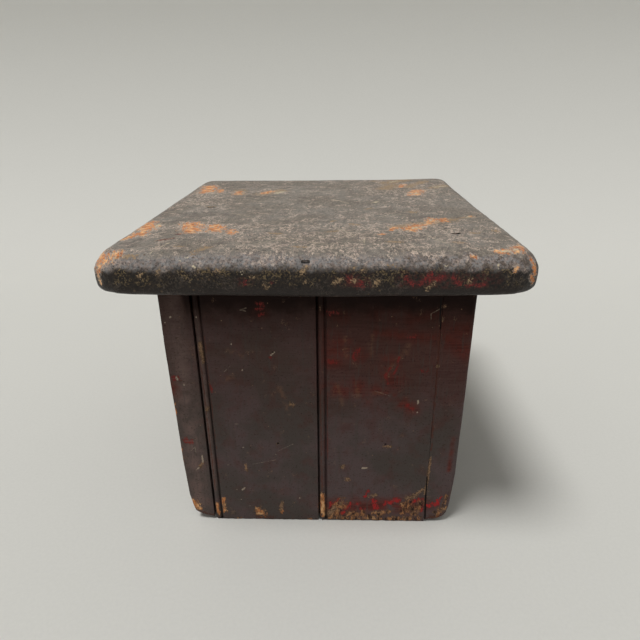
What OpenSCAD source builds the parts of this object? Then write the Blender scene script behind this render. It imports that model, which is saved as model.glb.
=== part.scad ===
// Low box footstool: one rounded seat board nailed on a box of beaded, tongued and grooved boards.
// +X is the right of the front, +Y runs from front to back and +Z is up, in millimetres.
// The origin is on the floor, under the middle of the seat.

/* [Seat] */
// Thickness of the seat board
seat_t = 25; // [20:0.5:32]
// How far the seat reaches past each side wall
overhang_side = 30; // [15:0.5:45]
// How far the seat reaches past the front and the back wall
overhang_end = 29; // [15:0.5:45]
// Radius of the seat's corners, seen from above
seat_corner_r = 17.5; // [14:0.5:30]
// Radius of the seat's upper edge
seat_top_r = 12.5; // [6:0.5:13]
// Radius of the seat's lower edge
seat_bottom_r = 5.5; // [2:0.5:6.5]

/* [Beaded boards] */
// Height of the box, which is the length of every wall board
box_h = 200; // [180:1:300]
// Width that one board takes up in a wall, with its open joint
board_pitch = 82.5; // [72:0.5:110]
// Thickness of a board
board_t = 20.6; // [16:0.1:26]
// Open joint that is left where the boards have shrunk
joint_gap = 1.2; // [0.4:0.1:1.6]
// Diameter of the bead along one edge of a board
bead_d = 4.5; // [3:0.1:6]
// Width of the quirk, the narrow groove that sets the bead off
quirk_w = 1.3; // [0.8:0.1:2]
// Thickness of the tongue
tongue_t = 6; // [4:0.1:8]
// Length of the tongue
tongue_l = 6; // [4:0.1:8]
// Clearance of the tongue in its groove
tongue_clear = 0.3; // [0.1:0.05:0.6]
// Wood planed off past the groove, where a board ends a side wall
planed_past = 1.2; // [0.5:0.1:4]

/* [Cleats] */
// Thickness of the inner cleats
cleat_t = 19; // [12:0.5:24]
// Height of the inner cleats
cleat_h = 38; // [25:0.5:45]
// Height of the middle of the lower cleats above the floor
lower_cleat_z = 74; // [45:0.5:80]
// Depth of the middle of the upper cleats below the seat
upper_cleat_drop = 51; // [45:0.5:65]

/* [Nails] */
// Diameter of a nail's shank
nail_d = 2.4; // [1.8:0.1:3.2]
// Diameter of a nail's head
nail_head_d = 3.6; // [3.4:0.1:6]
// Thickness of a nail's head
nail_head_t = 1; // [0.6:0.1:1.6]
// Length of a nail's point
nail_point = 4; // [2:0.5:6]
// Depth that the heads are set below the wood
nail_set = 0.8; // [0.2:0.1:1.2]
// Clearance of a nail in its hole
nail_clear = 0.05; // [0.02:0.01:0.1]
// Length of the nails that hold the boards to the cleats
cleat_nail_l = 35; // [28:0.5:36]
// Length of the nails that hold the side walls to the front and back boards
corner_nail_l = 45; // [35:0.5:55]
// Length of the nails that hold the seat to the side walls
seat_nail_l = 60; // [45:0.5:64]
// Distance of the nails in the left front board from its beaded edge
left_nail_in = 52; // [30:0.5:60]
// Distance of the nails in the right front board from its beaded edge
right_nail_in = 48.5; // [30:0.5:60]
// Distance of the seat nails from the outer face of the side walls
seat_nail_in = 12; // [8:0.5:13]
// Distance of the front seat nails behind the front of the box
seat_nail_front = 22; // [18:0.5:50]
// Distance of the back seat nails from the back of the box
seat_nail_back = 37; // [18:0.5:50]
// Distance of the outer corner nails from the ends of the boards
corner_nail_end = 25; // [15:0.5:40]

/* [Hidden] */
$fn = 48;

// Extra length that lets a cut run out past the face it opens
past = 1;

// A board without its tongue, and the same board with its groove planed away
board_w = board_pitch - joint_gap;
groove_depth = tongue_l + tongue_clear;
groove_t = tongue_t + 2 * tongue_clear;
planed_w = groove_depth + planed_past;
bead_r = bead_d / 2;

// The box: two boards across the front and the back, three along each side
inner_w = 2 * board_pitch;
box_w = inner_w + 2 * board_t;
box_d = 3 * board_pitch - planed_w - joint_gap;
inner_d = box_d - 2 * board_t;
seat_w = box_w + 2 * overhang_side;
seat_d = box_d + 2 * overhang_end;

// Heights and places of the nails
cleat_z = [lower_cleat_z, box_h - upper_cleat_drop];
left_front_nail_x = -board_w + left_nail_in;
right_front_nail_x = joint_gap + right_nail_in;
seat_nail_x = box_w / 2 - seat_nail_in;
first_seat_nail_y = -box_d / 2 + seat_nail_front;
last_seat_nail_y = box_d / 2 - seat_nail_back;
seat_nail_y = [first_seat_nail_y, (first_seat_nail_y + last_seat_nail_y) / 2, last_seat_nail_y];
corner_nail_z = [corner_nail_end, box_h / 2, box_h - corner_nail_end];
corner_nail_y = box_d / 2 - board_t / 2;

paint = [0.20, 0.14, 0.13];
seat_paint = [0.27, 0.23, 0.21];
bare_wood = [0.62, 0.44, 0.27];
iron = [0.24, 0.21, 0.20];

// Where each board of the left wall starts, counted from the front, and how wide it is
function side_start(i) = i == 0 ? 0 : i * board_pitch - planed_w;
function side_width(i) = i == 0 ? board_w - planed_w : board_w;
function side_nail_y(i) = -box_d / 2 + side_start(i) + side_width(i) / 2;

// Section of a beaded board, with its grooved edge at x = 0 and its face up
module board_section(width, grooved, tongued) {
  difference() {
    union() {
      square([width, board_t]);
      if (tongued)
        translate([width / 2, (board_t - tongue_t) / 2])
          square([width / 2 + tongue_l, tongue_t]);
    }
    if (grooved)
      translate([-past, (board_t - groove_t) / 2])
        square([groove_depth + past, groove_t]);
    translate([width - bead_d - quirk_w, board_t - bead_r])
      square([bead_d + quirk_w + past, bead_r + past]);
  }
  translate([width - bead_r, board_t - bead_r]) circle(bead_r);
}

// Section of the seat's edge, with its rounded side at x = seat_corner_r
module edge_section() {
  difference() {
    square([seat_corner_r, seat_t]);
    translate([seat_corner_r, seat_t]) corner_waste(seat_top_r, -1);
    translate([seat_corner_r, 0]) corner_waste(seat_bottom_r, 1);
  }
}

// Wood outside a round of radius r in an outer corner, which lies above or below the origin
module corner_waste(r, up) {
  difference() {
    translate([-r, up > 0 ? -past : -r]) square([r + past, r + past]);
    translate([-r, up * r]) circle(r);
  }
}

// A nail with the top of its head at the origin, driven along -Z
module nail(length) {
  translate([0, 0, -nail_head_t]) cylinder(d = nail_head_d, h = nail_head_t);
  translate([0, 0, -length + nail_point])
    cylinder(d = nail_d, h = length - nail_point - nail_head_t / 2);
  translate([0, 0, -length]) cylinder(d1 = 0, d2 = nail_d, h = nail_point);
}

// The hole that this nail makes, open above its head
module nail_hole(length) {
  translate([0, 0, -nail_head_t])
    cylinder(d = nail_head_d + 2 * nail_clear, h = nail_head_t + nail_set + past);
  translate([0, 0, -length - nail_clear])
    cylinder(d = nail_d + 2 * nail_clear, h = length);
}

// Places of the nails. Each set stands on the front or the left, and a half turn gives the other.
module at_front_nails() {
  for (x = [left_front_nail_x, right_front_nail_x], z = cleat_z)
    translate([x, -box_d / 2 + nail_set, z]) rotate([90, 0, 0]) children();
}

module at_side_nails() {
  for (i = [0:2], z = cleat_z)
    translate([-box_w / 2 + nail_set, side_nail_y(i), z]) rotate([0, -90, 0]) children();
}

module at_corner_nails() {
  for (y = [-corner_nail_y, corner_nail_y], z = corner_nail_z)
    translate([-box_w / 2 + nail_set, y, z]) rotate([0, -90, 0]) children();
}

module at_seat_nails() {
  for (x = [-seat_nail_x, seat_nail_x], y = seat_nail_y)
    translate([x, y, box_h + seat_t - nail_set]) children();
}

module half_turn() {
  rotate([0, 0, 180]) children();
}

// All the nail holes that meet a front board, and all that meet the left wall
module front_holes() {
  at_front_nails() nail_hole(cleat_nail_l);
  at_corner_nails() nail_hole(corner_nail_l);
  half_turn() at_corner_nails() nail_hole(corner_nail_l);
}

module left_holes() {
  at_side_nails() nail_hole(cleat_nail_l);
  at_corner_nails() nail_hole(corner_nail_l);
}

// One board of the front wall: 0 is tight against the right side wall, 1 is next to it
module front_board(i) {
  color(paint) difference() {
    translate([inner_w / 2 - i * board_pitch, -box_d / 2 + board_t, 0]) half_turn()
      linear_extrude(box_h) board_section(board_w, true, i == 0);
    front_holes();
  }
}

// One board of the left side wall, counted from the front
module left_board(i) {
  color(paint) difference() {
    translate([-inner_w / 2, -box_d / 2 + side_start(i), 0]) rotate([0, 0, 90])
      linear_extrude(box_h) board_section(side_width(i), i > 0, i < 2);
    left_holes();
  }
}

// A side wall board with the holes that the seat nails make in its top end
module seat_holed() {
  difference() {
    children();
    color(paint) at_seat_nails() nail_hole(seat_nail_l);
  }
}

// Cleats run along the side walls from front to back, and between those across the ends
module end_cleat(z) {
  color(bare_wood) difference() {
    translate([-inner_w / 2 + cleat_t, -inner_d / 2, z - cleat_h / 2])
      cube([inner_w - 2 * cleat_t, cleat_t, cleat_h]);
    at_front_nails() nail_hole(cleat_nail_l);
  }
}

module side_cleat(z) {
  color(bare_wood) difference() {
    translate([-inner_w / 2, -inner_d / 2, z - cleat_h / 2]) cube([cleat_t, inner_d, cleat_h]);
    at_side_nails() nail_hole(cleat_nail_l);
  }
}

module seat_board() {
  core_w = seat_w - 2 * seat_corner_r;
  core_d = seat_d - 2 * seat_corner_r;
  color(seat_paint) difference() {
    union() {
      translate([-core_w / 2, -core_d / 2, box_h]) cube([core_w, core_d, seat_t]);
      for (side = [0, 1]) rotate([0, 0, 180 * side]) {
        // Long edge on the right, then short edge at the back
        translate([core_w / 2, core_d / 2, box_h]) rotate([90, 0, 0])
          linear_extrude(core_d) edge_section();
        translate([-core_w / 2, core_d / 2, box_h]) rotate([90, 0, 90])
          linear_extrude(core_w) edge_section();
        // Corners at the right back and at the left back
        translate([core_w / 2, core_d / 2, box_h]) rotate_extrude(angle = 90) edge_section();
        translate([-core_w / 2, core_d / 2, box_h]) rotate([0, 0, 90])
          rotate_extrude(angle = 90) edge_section();
      }
    }
    at_seat_nails() nail_hole(seat_nail_l);
  }
}

module front_board_left() { front_board(1); }
module front_board_right() { front_board(0); }
module back_board_left() { half_turn() front_board(0); }
module back_board_right() { half_turn() front_board(1); }
module left_board_front() { seat_holed() left_board(0); }
module left_board_middle() { seat_holed() left_board(1); }
module left_board_back() { seat_holed() left_board(2); }
module right_board_front() { seat_holed() half_turn() left_board(2); }
module right_board_middle() { seat_holed() half_turn() left_board(1); }
module right_board_back() { seat_holed() half_turn() left_board(0); }

module front_upper_cleat() { end_cleat(cleat_z[1]); }
module front_lower_cleat() { end_cleat(cleat_z[0]); }
module back_upper_cleat() { half_turn() end_cleat(cleat_z[1]); }
module back_lower_cleat() { half_turn() end_cleat(cleat_z[0]); }
module left_upper_cleat() { side_cleat(cleat_z[1]); }
module left_lower_cleat() { side_cleat(cleat_z[0]); }
module right_upper_cleat() { half_turn() side_cleat(cleat_z[1]); }
module right_lower_cleat() { half_turn() side_cleat(cleat_z[0]); }

module seat_nails() { color(iron) at_seat_nails() nail(seat_nail_l); }
module front_nails() { color(iron) at_front_nails() nail(cleat_nail_l); }
module back_nails() { half_turn() front_nails(); }
module left_side_nails() { color(iron) at_side_nails() nail(cleat_nail_l); }
module right_side_nails() { half_turn() left_side_nails(); }
module left_corner_nails() { color(iron) at_corner_nails() nail(corner_nail_l); }
module right_corner_nails() { half_turn() left_corner_nails(); }

seat_board();
front_board_left();
front_board_right();
back_board_left();
back_board_right();
left_board_front();
left_board_middle();
left_board_back();
right_board_front();
right_board_middle();
right_board_back();
front_upper_cleat();
front_lower_cleat();
back_upper_cleat();
back_lower_cleat();
left_upper_cleat();
left_lower_cleat();
right_upper_cleat();
right_lower_cleat();
seat_nails();
front_nails();
back_nails();
left_side_nails();
right_side_nails();
left_corner_nails();
right_corner_nails();
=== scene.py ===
# Looks of the low box footstool: a worn, painted seat on a box of beaded boards.
# Metres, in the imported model's frame: +X right, +Y back, +Z up. Sizes beside the pieces are in mm.
import math
import random
from functools import partial, reduce

import bmesh
import bpy
import numpy as np
from mathutils import Matrix, Vector, noise


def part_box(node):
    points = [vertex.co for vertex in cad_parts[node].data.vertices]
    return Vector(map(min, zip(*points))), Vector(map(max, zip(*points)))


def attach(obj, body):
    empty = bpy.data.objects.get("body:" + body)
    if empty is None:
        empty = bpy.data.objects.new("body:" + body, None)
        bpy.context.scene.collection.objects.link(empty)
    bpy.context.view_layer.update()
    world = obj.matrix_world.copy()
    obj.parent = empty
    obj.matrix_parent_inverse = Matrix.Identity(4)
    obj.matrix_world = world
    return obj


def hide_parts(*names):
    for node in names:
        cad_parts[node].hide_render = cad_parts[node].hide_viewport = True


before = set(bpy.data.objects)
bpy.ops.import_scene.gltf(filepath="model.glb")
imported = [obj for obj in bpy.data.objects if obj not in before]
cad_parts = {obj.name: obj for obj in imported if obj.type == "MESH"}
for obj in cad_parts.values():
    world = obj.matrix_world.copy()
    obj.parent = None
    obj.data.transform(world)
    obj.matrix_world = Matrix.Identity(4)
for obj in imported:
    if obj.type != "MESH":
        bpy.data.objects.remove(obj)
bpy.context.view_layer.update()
mm = 0.001
tiny = 0.01 * mm    # points less apart than this are at one place

# Corners of the box, taken from its boards
boxLow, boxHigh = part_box("left_board_front")[0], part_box("right_board_back")[1]
seatLow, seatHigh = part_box("seat_board")
print("frame loaded:", len(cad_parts), "nodes")


# Working on a mesh

def choose(*pieces):  # selects just these, the first one active
    bpy.ops.object.select_all(action="DESELECT")
    for piece in pieces:
        piece.select_set(True)
    bpy.context.view_layer.objects.active = pieces[0]


def startEdit(piece):
    choose(piece)
    bpy.ops.object.mode_set(mode="EDIT")
    pickAll()


def endEdit():
    bpy.ops.object.mode_set(mode="OBJECT")


def pick(piece, kind, wanted):  # selects just the verts, edges or faces that are wanted
    bpy.ops.mesh.select_mode(type=kind)
    bpy.ops.mesh.select_all(action="DESELECT")
    mesh = bmesh.from_edit_mesh(piece.data)
    for item in {"VERT": mesh.verts, "EDGE": mesh.edges, "FACE": mesh.faces}[kind]:
        if wanted(item):
            item.select_set(True)
    bmesh.update_edit_mesh(piece.data)


def pickEdges(piece, wanted):  # selects the edges whose two ends are at a wanted place
    pick(piece, "EDGE", lambda edge: all(wanted(vert.co) for vert in edge.verts))


def pickAll():
    bpy.ops.mesh.select_all(action="SELECT")


def pickAlong(piece, axis, length):  # selects the edges that reach further than this along an axis
    pick(piece, "EDGE", lambda edge: abs((edge.verts[0].co - edge.verts[1].co)[axis]) > length)


def extrude(*move):
    bpy.ops.mesh.extrude_region_move(TRANSFORM_OT_translate={"value": move})


def middle(item):
    return sum((vert.co for vert in item.verts), Vector()) / len(item.verts)


def placesOf(mesh):
    places = np.empty(len(mesh.vertices) * 3)
    mesh.vertices.foreach_get("co", places)
    return places.reshape(-1, 3)


def applyModifier(piece, kind, **settings):
    choose(piece)
    modifier = piece.modifiers.new(kind.lower(), kind)
    for name, value in settings.items():
        setattr(modifier, name, value)
    bpy.ops.object.modifier_apply(modifier=modifier.name)


def addBetween(low, high, name, add):  # add: makes a cube or a plane, here between two corners
    bpy.ops.object.select_all(action="DESELECT")
    add(size=1, location=(low + high) / 2)
    piece = bpy.context.object
    piece.name = name
    piece.scale = [size or 1 for size in high - low]
    bpy.ops.object.transform_apply(location=True, rotation=True, scale=True)
    return piece


def addCube(name, low, high):
    return addBetween(low, high, name, bpy.ops.mesh.primitive_cube_add)


def addPlane(name, low, high):
    return addBetween(low, high, name, bpy.ops.mesh.primitive_plane_add)


def copyPiece(piece, name):  # a copy with its own mesh
    choose(piece)
    bpy.ops.object.duplicate(linked=False)
    bpy.context.object.name = name
    return bpy.context.object


def cloudTexture(name, size, depth=2):
    texture = bpy.data.textures.new(name, "CLOUDS")
    texture.noise_scale = size * mm
    texture.noise_depth = depth
    return texture


def unevenSurface(piece, name, size, height, level=0.5, group=""):  # level: how much of it goes inwards
    applyModifier(piece, "DISPLACE", texture=cloudTexture(name, size), strength=height * mm,
                  mid_level=level, texture_coords="LOCAL", vertex_group=group)


def share(value, start, end):  # 0 at the start, 1 at the end
    return max(0, min(1, (value - start) / (end - start)))


def groupByPlace(piece, name, weightAt):  # a vertex group whose weight depends on the place
    group = piece.vertex_groups.new(name=name)
    for vert in piece.data.vertices:
        weight = weightAt(vert.co)
        if weight > 0:
            group.add([vert.index], min(weight, 1), "REPLACE")


def shift(piece, name, direction, amount, weightAt):  # moves a part of the piece along an axis, in mm
    groupByPlace(piece, name, weightAt)
    applyModifier(piece, "DISPLACE", direction=direction, strength=amount * mm, mid_level=0,
                  vertex_group=name)


def pushIn(piece, pushes):
    # each push: place, move and reach in mm; the wood around the nearest point follows it
    places = placesOf(piece.data)
    nearest = [int(np.argmin(np.linalg.norm(places - np.array(place) * mm, axis=1)))
               for place, move, reach in pushes]
    startEdit(piece)
    bpy.ops.mesh.select_mode(type="VERT")
    for index, (place, move, reach) in zip(nearest, pushes):
        bpy.ops.mesh.select_all(action="DESELECT")
        edited = bmesh.from_edit_mesh(piece.data)
        edited.verts.ensure_lookup_table()
        edited.verts[index].select_set(True)
        bpy.ops.transform.translate(
            value=Vector(move) * mm, use_proportional_edit=True,
            proportional_edit_falloff="SMOOTH", proportional_size=reach * mm)
    endEdit()


def cutOut(piece, cutters):  # cuts the joined cutters out of the piece
    choose(*cutters)
    bpy.ops.object.join()
    applyModifier(piece, "BOOLEAN", operation="DIFFERENCE", object=cutters[0], solver="MANIFOLD")
    bpy.data.objects.remove(cutters[0])


def finishPiece(piece, material, slot, *nodes):
    choose(piece)
    bpy.ops.object.shade_smooth_by_angle(angle=math.radians(40))
    piece.data.materials.clear()
    piece.data.materials.append(material)
    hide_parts(*nodes)
    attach(piece, "root")


# Marks of wear, and of painted light: strokes painted on the mesh, which the paint materials read

noise.seed_set(4)    # without it, the strokes would wander in another way in each run


def pointsOf(piece, loose):  # every point in mm, and a small vector that wanders from point to point
    places = placesOf(piece.data) / mm
    wander = np.array([noise.noise_vector(Vector(place) * 0.3) for place in places]) * loose
    return places, wander


def lay(strokes, place):  # strokes drawn flat; place says where on the piece a drawn point lies
    return [(place(*stroke[:2]), place(*stroke[2:4]), stroke[4]) for stroke in strokes]


def strokeField(piece, name, strokes, points):
    # each stroke: two ends and a radius in mm; the value is 1 on it, 0.5 at the radius, 0 at twice that
    places, wander = points
    value = np.zeros(len(places))
    for start, end, radius in strokes:
        start, end = np.array(start, float), np.array(end, float)
        near = np.all((places > np.minimum(start, end) - 4 * radius)
                      & (places < np.maximum(start, end) + 4 * radius), axis=1)
        # a wide stroke wanders more than a thin one
        moved = places[near] + wander[near] * min(max(radius - 0.6, 0.1), 3.4)
        along = end - start
        foot = np.clip((moved - start) @ along / max(along @ along, 1e-9), 0, 1)
        apart = np.linalg.norm(moved - start - foot[:, None] * along, axis=1)
        value[near] = np.maximum(value[near], 1 - apart / (2 * radius))
    field = piece.data.attributes.new(name, "FLOAT", "POINT")
    field.data.foreach_set("value", np.clip(value, 0, 1).astype(np.float32))


# Short ways to add shader nodes to the tree that is being made; sizes are in mm

def startTree(owner):  # owner: a material or a world
    global tree
    owner.use_nodes = True
    tree = owner.node_tree
    tree.nodes.clear()
    return owner


def addNode(kind, inputs=(), **settings):
    node = tree.nodes.new("ShaderNode" + kind)
    for name, value in settings.items():
        setattr(node, name, value)
    for socket, value in dict(inputs).items():
        if isinstance(value, bpy.types.NodeSocket):
            tree.links.new(value, node.inputs[socket])
        else:
            node.inputs[socket].default_value = value
    return node


def paintColour(red, green, blue):  # a colour as it reads on a screen, 0 to 255
    return (*(c / 255 / 12.92 if c <= 10 else ((c / 255 + 0.055) / 1.055) ** 2.4
              for c in (red, green, blue)), 1)


def calc(operation, first, second=0.0, third=0.0):
    return addNode("Math", {0: first, 1: second, 2: third}, operation=operation).outputs[0]


def times(*values):
    return reduce(lambda first, second: calc("MULTIPLY", first, second), values)


def most(*values):
    return reduce(lambda first, second: calc("MAXIMUM", first, second), values)


def stretched(place, stretch, turn=0.0):
    return addNode("Mapping", {"Vector": place, "Scale": [1 / scale for scale in stretch],
                               "Rotation": (0, 0, math.radians(turn))}, vector_type="TEXTURE").outputs[0]


def clouds(place, size, detail=3.0, rough=0.55, bend=0.0):
    return addNode("TexNoise", {"Vector": place, "Scale": 1000 / size, "Detail": detail,
                                "Roughness": rough, "Distortion": bend}).outputs[0]


def rise(value, low, high, start=0, end=1):  # start below low, end above high
    return addNode("MapRange", {"Value": value, "From Min": low, "From Max": high, "To Min": start,
                                "To Max": end}, interpolation_type="SMOOTHSTEP").outputs[0]


def blend(amount, first, second):
    first, second = (colour if isinstance(colour, bpy.types.NodeSocket) else paintColour(*colour)
                     for colour in (first, second))
    return addNode("Mix", {0: amount, 6: first, 7: second}, data_type="RGBA").outputs[2]


def coats(colour, paint, *layers):  # layers on each other: how thick, and a socket or a colour's name
    for amount, coat in layers:
        colour = blend(amount, colour, paint.get(coat, coat))
    return colour


def between(amount, low, high):  # low where the amount is 0, high where it is 1
    return addNode("MapRange", {"Value": amount, "To Min": low, "To Max": high}).outputs[0]


def field(name):
    return addNode("Attribute", attribute_name=name).outputs["Fac"]


def squiggles(place, size, thin, bend=1.0):  # thin worm-like lines
    wave = clouds(place, size, 2, 0.5, bend)
    return rise(calc("ABSOLUTE", calc("SUBTRACT", wave, 0.5)), thin, thin * 0.4)


def dots(place, size, many, radius):  # round dots; many: the share of the cells that have one
    cells = addNode("TexVoronoi", {"Vector": place, "Scale": 1000 / size})
    chosen = calc("LESS_THAN", addNode("SeparateColor", {0: cells.outputs["Color"]}).outputs[0], many)
    return times(chosen, rise(cells.outputs["Distance"], radius, radius * 0.6))


def scratches(place, lines):  # thin lines: two ends and a width in mm
    drawn = []
    for start, end, width in lines:
        start, end = Vector(start) * mm, Vector(end) * mm
        aim = (end - start).normalized()
        away = addNode("VectorMath", {0: place, 1: start}, operation="SUBTRACT").outputs[0]
        along = addNode("VectorMath", {0: away, 1: aim}, operation="DOT_PRODUCT").outputs["Value"]
        along = calc("MINIMUM", calc("MAXIMUM", along, 0), (end - start).length)
        foot = addNode("VectorMath", {0: aim, "Scale": along}, operation="SCALE").outputs[0]
        apart = addNode("VectorMath", {0: away, 1: foot}, operation="DISTANCE").outputs["Value"]
        drawn.append(rise(apart, width * 0.8 * mm, width * 0.3 * mm))
    return most(*drawn)


def torn(name, ragged, spread=1.0, level=0.5, soft=0.08):  # a wear field with a ragged edge
    value = field(name)
    shifted = calc("MULTIPLY_ADD", calc("SUBTRACT", ragged, 0.5), spread, value)
    edge = rise(shifted, level - soft, level + soft)
    return times(edge, rise(value, 0.02, 0.18))


def newMaterial(name):  # also gives the place on the piece that the patterns are laid out by
    material = startTree(bpy.data.materials.new(name))
    return material, addNode("TexCoord").outputs["Object"]


def finishMaterial(colour, rough, heights, shine=0.5):
    # heights: pairs of a socket and a height in mm, laid on each other as bumps
    below = {}
    for socket, height in heights:
        bump = addNode("Bump", {"Height": socket, "Distance": height * mm, **below})
        below = {"Normal": bump.outputs[0]}
    shader = addNode("BsdfPrincipled", {"Base Color": colour, "Roughness": rough, **below,
                                        "Specular IOR Level": shine})
    addNode("OutputMaterial", {"Surface": shader.outputs[0]})
    return shader


# Bare wood, used under the paint and on the cleats

woodColours = {"light": (246, 196, 142), "orange": (222, 144, 88), "dark": (146, 84, 48)}


def bareWood(place, along):  # along: scale that stretches the grain along the board
    grain = clouds(stretched(place, along), 1.5, 5, 0.65, 0.8)
    patches = clouds(place, 5, 4, 0.6)
    colour = blend(rise(grain, 0.34, 0.56), woodColours["dark"], woodColours["orange"])
    return blend(rise(patches, 0.47, 0.64), colour, woodColours["light"]), grain


# The seat's paint

seatPaint = {
    # on the top: olive, grey and brown, partly the worn paint's own colour and partly painted sheen
    "olive": (114, 107, 97), "grey": (131, 125, 117), "brown": (90, 79, 71), "pore": (32, 26, 24),
    "tan": (222, 200, 182), "rose": (192, 164, 152),                            # specks on the flat
    "slate": (136, 134, 133), "mauve": (150, 137, 130), "dent": (54, 45, 42),   # painted sheen on the rounded edge, painted shade in its dents
    "edge": (30, 22, 17), "edgeDark": (12, 8, 6), "edgeOlive": (134, 114, 80), "edgeRed": (78, 28, 24),
    "bottom": (34, 26, 22),
    "red": (128, 38, 36), "redDim": (74, 31, 28), "chip": (162, 136, 104), "chipDim": (92, 74, 54),
    "chipTop": (158, 131, 102),
    "cream": (204, 190, 162), "pit": (16, 11, 9), "underDark": (78, 58, 42), "under": (104, 80, 58),
}

# Scratches in the seat's paint: two ends and a width in mm
seatScratches = [
    ((30.8, -112, 225), (30, -137, 224), 1.0), ((-101.5, -116, 225), (-89, -108, 225), 0.8),
    ((9, 26, 225), (24, 7.4, 225), 1.1), ((-35.5, -121, 225), (-16.8, -109, 225), 0.7),
    ((-16.8, -109, 225), (5.2, -124, 225), 0.7), ((-96.6, -142.6, 224), (-90.5, -120.8, 225), 0.8),
    ((-60, 20, 225), (-38, 12, 225), 0.8), ((-20, 70, 225), (16, 62, 225), 0.8),
    ((44, -48, 225), (66, -38, 225), 0.7), ((-70, -30, 225), (-52, -44, 225), 0.7),
    ((12, -78, 225), (26, -104, 225), 0.7), ((72, -104, 225), (84, -132, 225), 0.7),
]


def makeSeatPaint():
    paint = seatPaint
    material, place = newMaterial("wornSeatPaint")
    across, back, height = addNode("SeparateXYZ", {0: place}).outputs

    cloudy = clouds(place, 44, 4, 0.6)
    blotches = clouds(place, 10, 4, 0.62)
    fine = clouds(stretched(place, (1, 0.6, 1)), 1.6, 4, 0.7)
    peel = clouds(place, 2.0, 3, 0.55)
    crinkle = clouds(place, 1.35, 3, 0.62, 0.6)
    lumps = clouds(place, 3.4, 4, 0.6)
    streaks = clouds(stretched(place, (0.09, 1, 1), 5), 1.8, 3, 0.6)
    ragged = rise(clouds(stretched(place, (1, 0.32, 1), 14), 2.2, 6, 0.74, 0.4), 0.34, 0.66)
    crumbs = rise(clouds(stretched(place, (1, 0.5, 1)), 1.3, 4, 0.7), 0.36, 0.64)

    # how far below the flat top a point lies, in mm, a little uneven
    drop = calc("MULTIPLY_ADD", calc("SUBTRACT", seatHigh.z, height), 1000,
                calc("MULTIPLY_ADD", blotches, 9.0, -4.5))
    rounded = rise(drop, 0.5, 3.5)
    edge = rise(drop, 5.5, 11.0)

    # the top's light grey: partly the worn paint's own colour, partly painted sheen
    top = coats(
        blend(rise(cloudy, 0.36, 0.64), paint["olive"], paint["grey"]), paint,
        (rise(blotches, 0.46, 0.70, 0, 0.7), "brown"), (rise(streaks, 0.52, 0.68, 0, 0.35), "brown"),
        (rise(fine, 0.45, 0.33, 0, 0.8), "pore"))
    # painted sheen on the rounding: grey with a rosy tinge on the bumps of the thick paint, painted shade in
    # the dents between them, duller at the right
    dull = rise(across, 20 * mm, 100 * mm, 0.45, 0.95)
    rimSheen = coats(
        blend(rise(peel, 0.44, 0.60), paint["slate"], paint["mauve"]), paint,
        (times(rise(lumps, 0.42, 0.60), dull), "brown"), (rise(crinkle, 0.52, 0.36, 0, 0.72), "dent"))
    olive = times(squiggles(place, 2.8, 0.08), rise(crumbs, 0.35, 0.75),
                  rise(blotches, 0.45, 0.6, 0.06, 0.75))
    side = coats(
        blend(rise(peel, 0.50, 0.38), paint["edge"], paint["edgeDark"]), paint,
        (olive, "edgeOlive"), (times(field("redHaze"), rise(peel, 0.40, 0.62, 0, 0.7)), "edgeRed"),
        (rise(drop, 18.0, 20.5), "bottom"))

    # tan and rosy specks, thick in some places and thin in others
    grit = calc("MULTIPLY_ADD", calc("SUBTRACT", cloudy, 0.5), 0.6, field("grit"))
    crowd = rise(calc("MULTIPLY_ADD", grit, 0.16, clouds(place, 14, 3, 0.6)), 0.50, 0.64)
    loose = stretched(place, (1, 0.55, 1))
    ticks = most(times(squiggles(loose, 1.9, 0.05, 1.2), rise(clouds(loose, 1.9, 2), 0.48, 0.56)),
                 times(squiggles(loose, 1.2, 0.055, 0.8), rise(clouds(loose, 3.2, 2), 0.50, 0.58)))
    worms = times(ticks, between(crowd, 0.22, 1.0))
    crumb = times(rise(fine, 0.56, 0.64), between(crowd, 0.05, 0.6))
    fading = times(between(edge, 1.0, 0.12), between(rounded, 1.0, 0.75))
    # hair scratches in three directions
    hair = most(*[rise(clouds(stretched(place, (0.045, 1, 1), turn), size, 2, 0.5, 0.3), 0.655, 0.70)
                  for turn, size in ((18, 0.7), (-34, 0.8), (72, 0.7))])
    colour = coats(
        # the rounding gets the painted sheen
        top, paint, (rounded, rimSheen), (edge, side), (times(crumb, fading, 0.7), "rose"),
        (times(worms, fading, 0.95), "tan"), (times(dots(place, 3.2, 0.12, 0.26), 0.8), "chipDim"),
        (times(hair, between(rounded, 0.5, 0.0)), "tan"))

    red = times(torn("redCoat", crumbs, 0.9, 0.62, 0.12), rise(fine, 0.42, 0.54, 0.25, 1.0))
    tanDim = times(torn("tanChip", ragged, 1.3, 0.40, 0.16), between(crumbs, 0.25, 1.0),
                   between(edge, 0.6, 1.0))
    tan = torn("tanChip", crumbs, 1.0, 0.62, 0.08)
    bare = times(torn("bareWood", ragged, 0.9, 0.52, 0.12), rise(fine, 0.40, 0.50, 0.45, 1.0))
    line = times(scratches(place, seatScratches), between(crumbs, 0.1, 0.9))
    wood, grain = bareWood(place, (0.3, 1, 1))
    # the underside inside the box was never painted
    under = times(calc("LESS_THAN", calc("ABSOLUTE", across), boxHigh.x),
                  calc("LESS_THAN", calc("ABSOLUTE", back), boxHigh.y),
                  calc("LESS_THAN", height, seatLow.z + 1.5 * mm))
    colour = coats(
        colour, paint, (torn("redCoat", ragged, 1.1, 0.42, 0.15), "redDim"), (red, "red"),
        (tanDim, blend(edge, paint["chipTop"], paint["chipDim"])), (tan, "chip"),
        (times(torn("bareWood", crumbs, 1.1, 0.36, 0.16), 0.4), "tan"), (bare, wood),
        (torn("creamChip", crumbs, 0.6, 0.58, 0.14), "cream"), (line, "cream"),
        (torn("pit", fine, 0.2, 0.55, 0.08), "pit"),
        (under, blend(rise(grain, 0.3, 0.7), paint["underDark"], paint["under"])))

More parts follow.
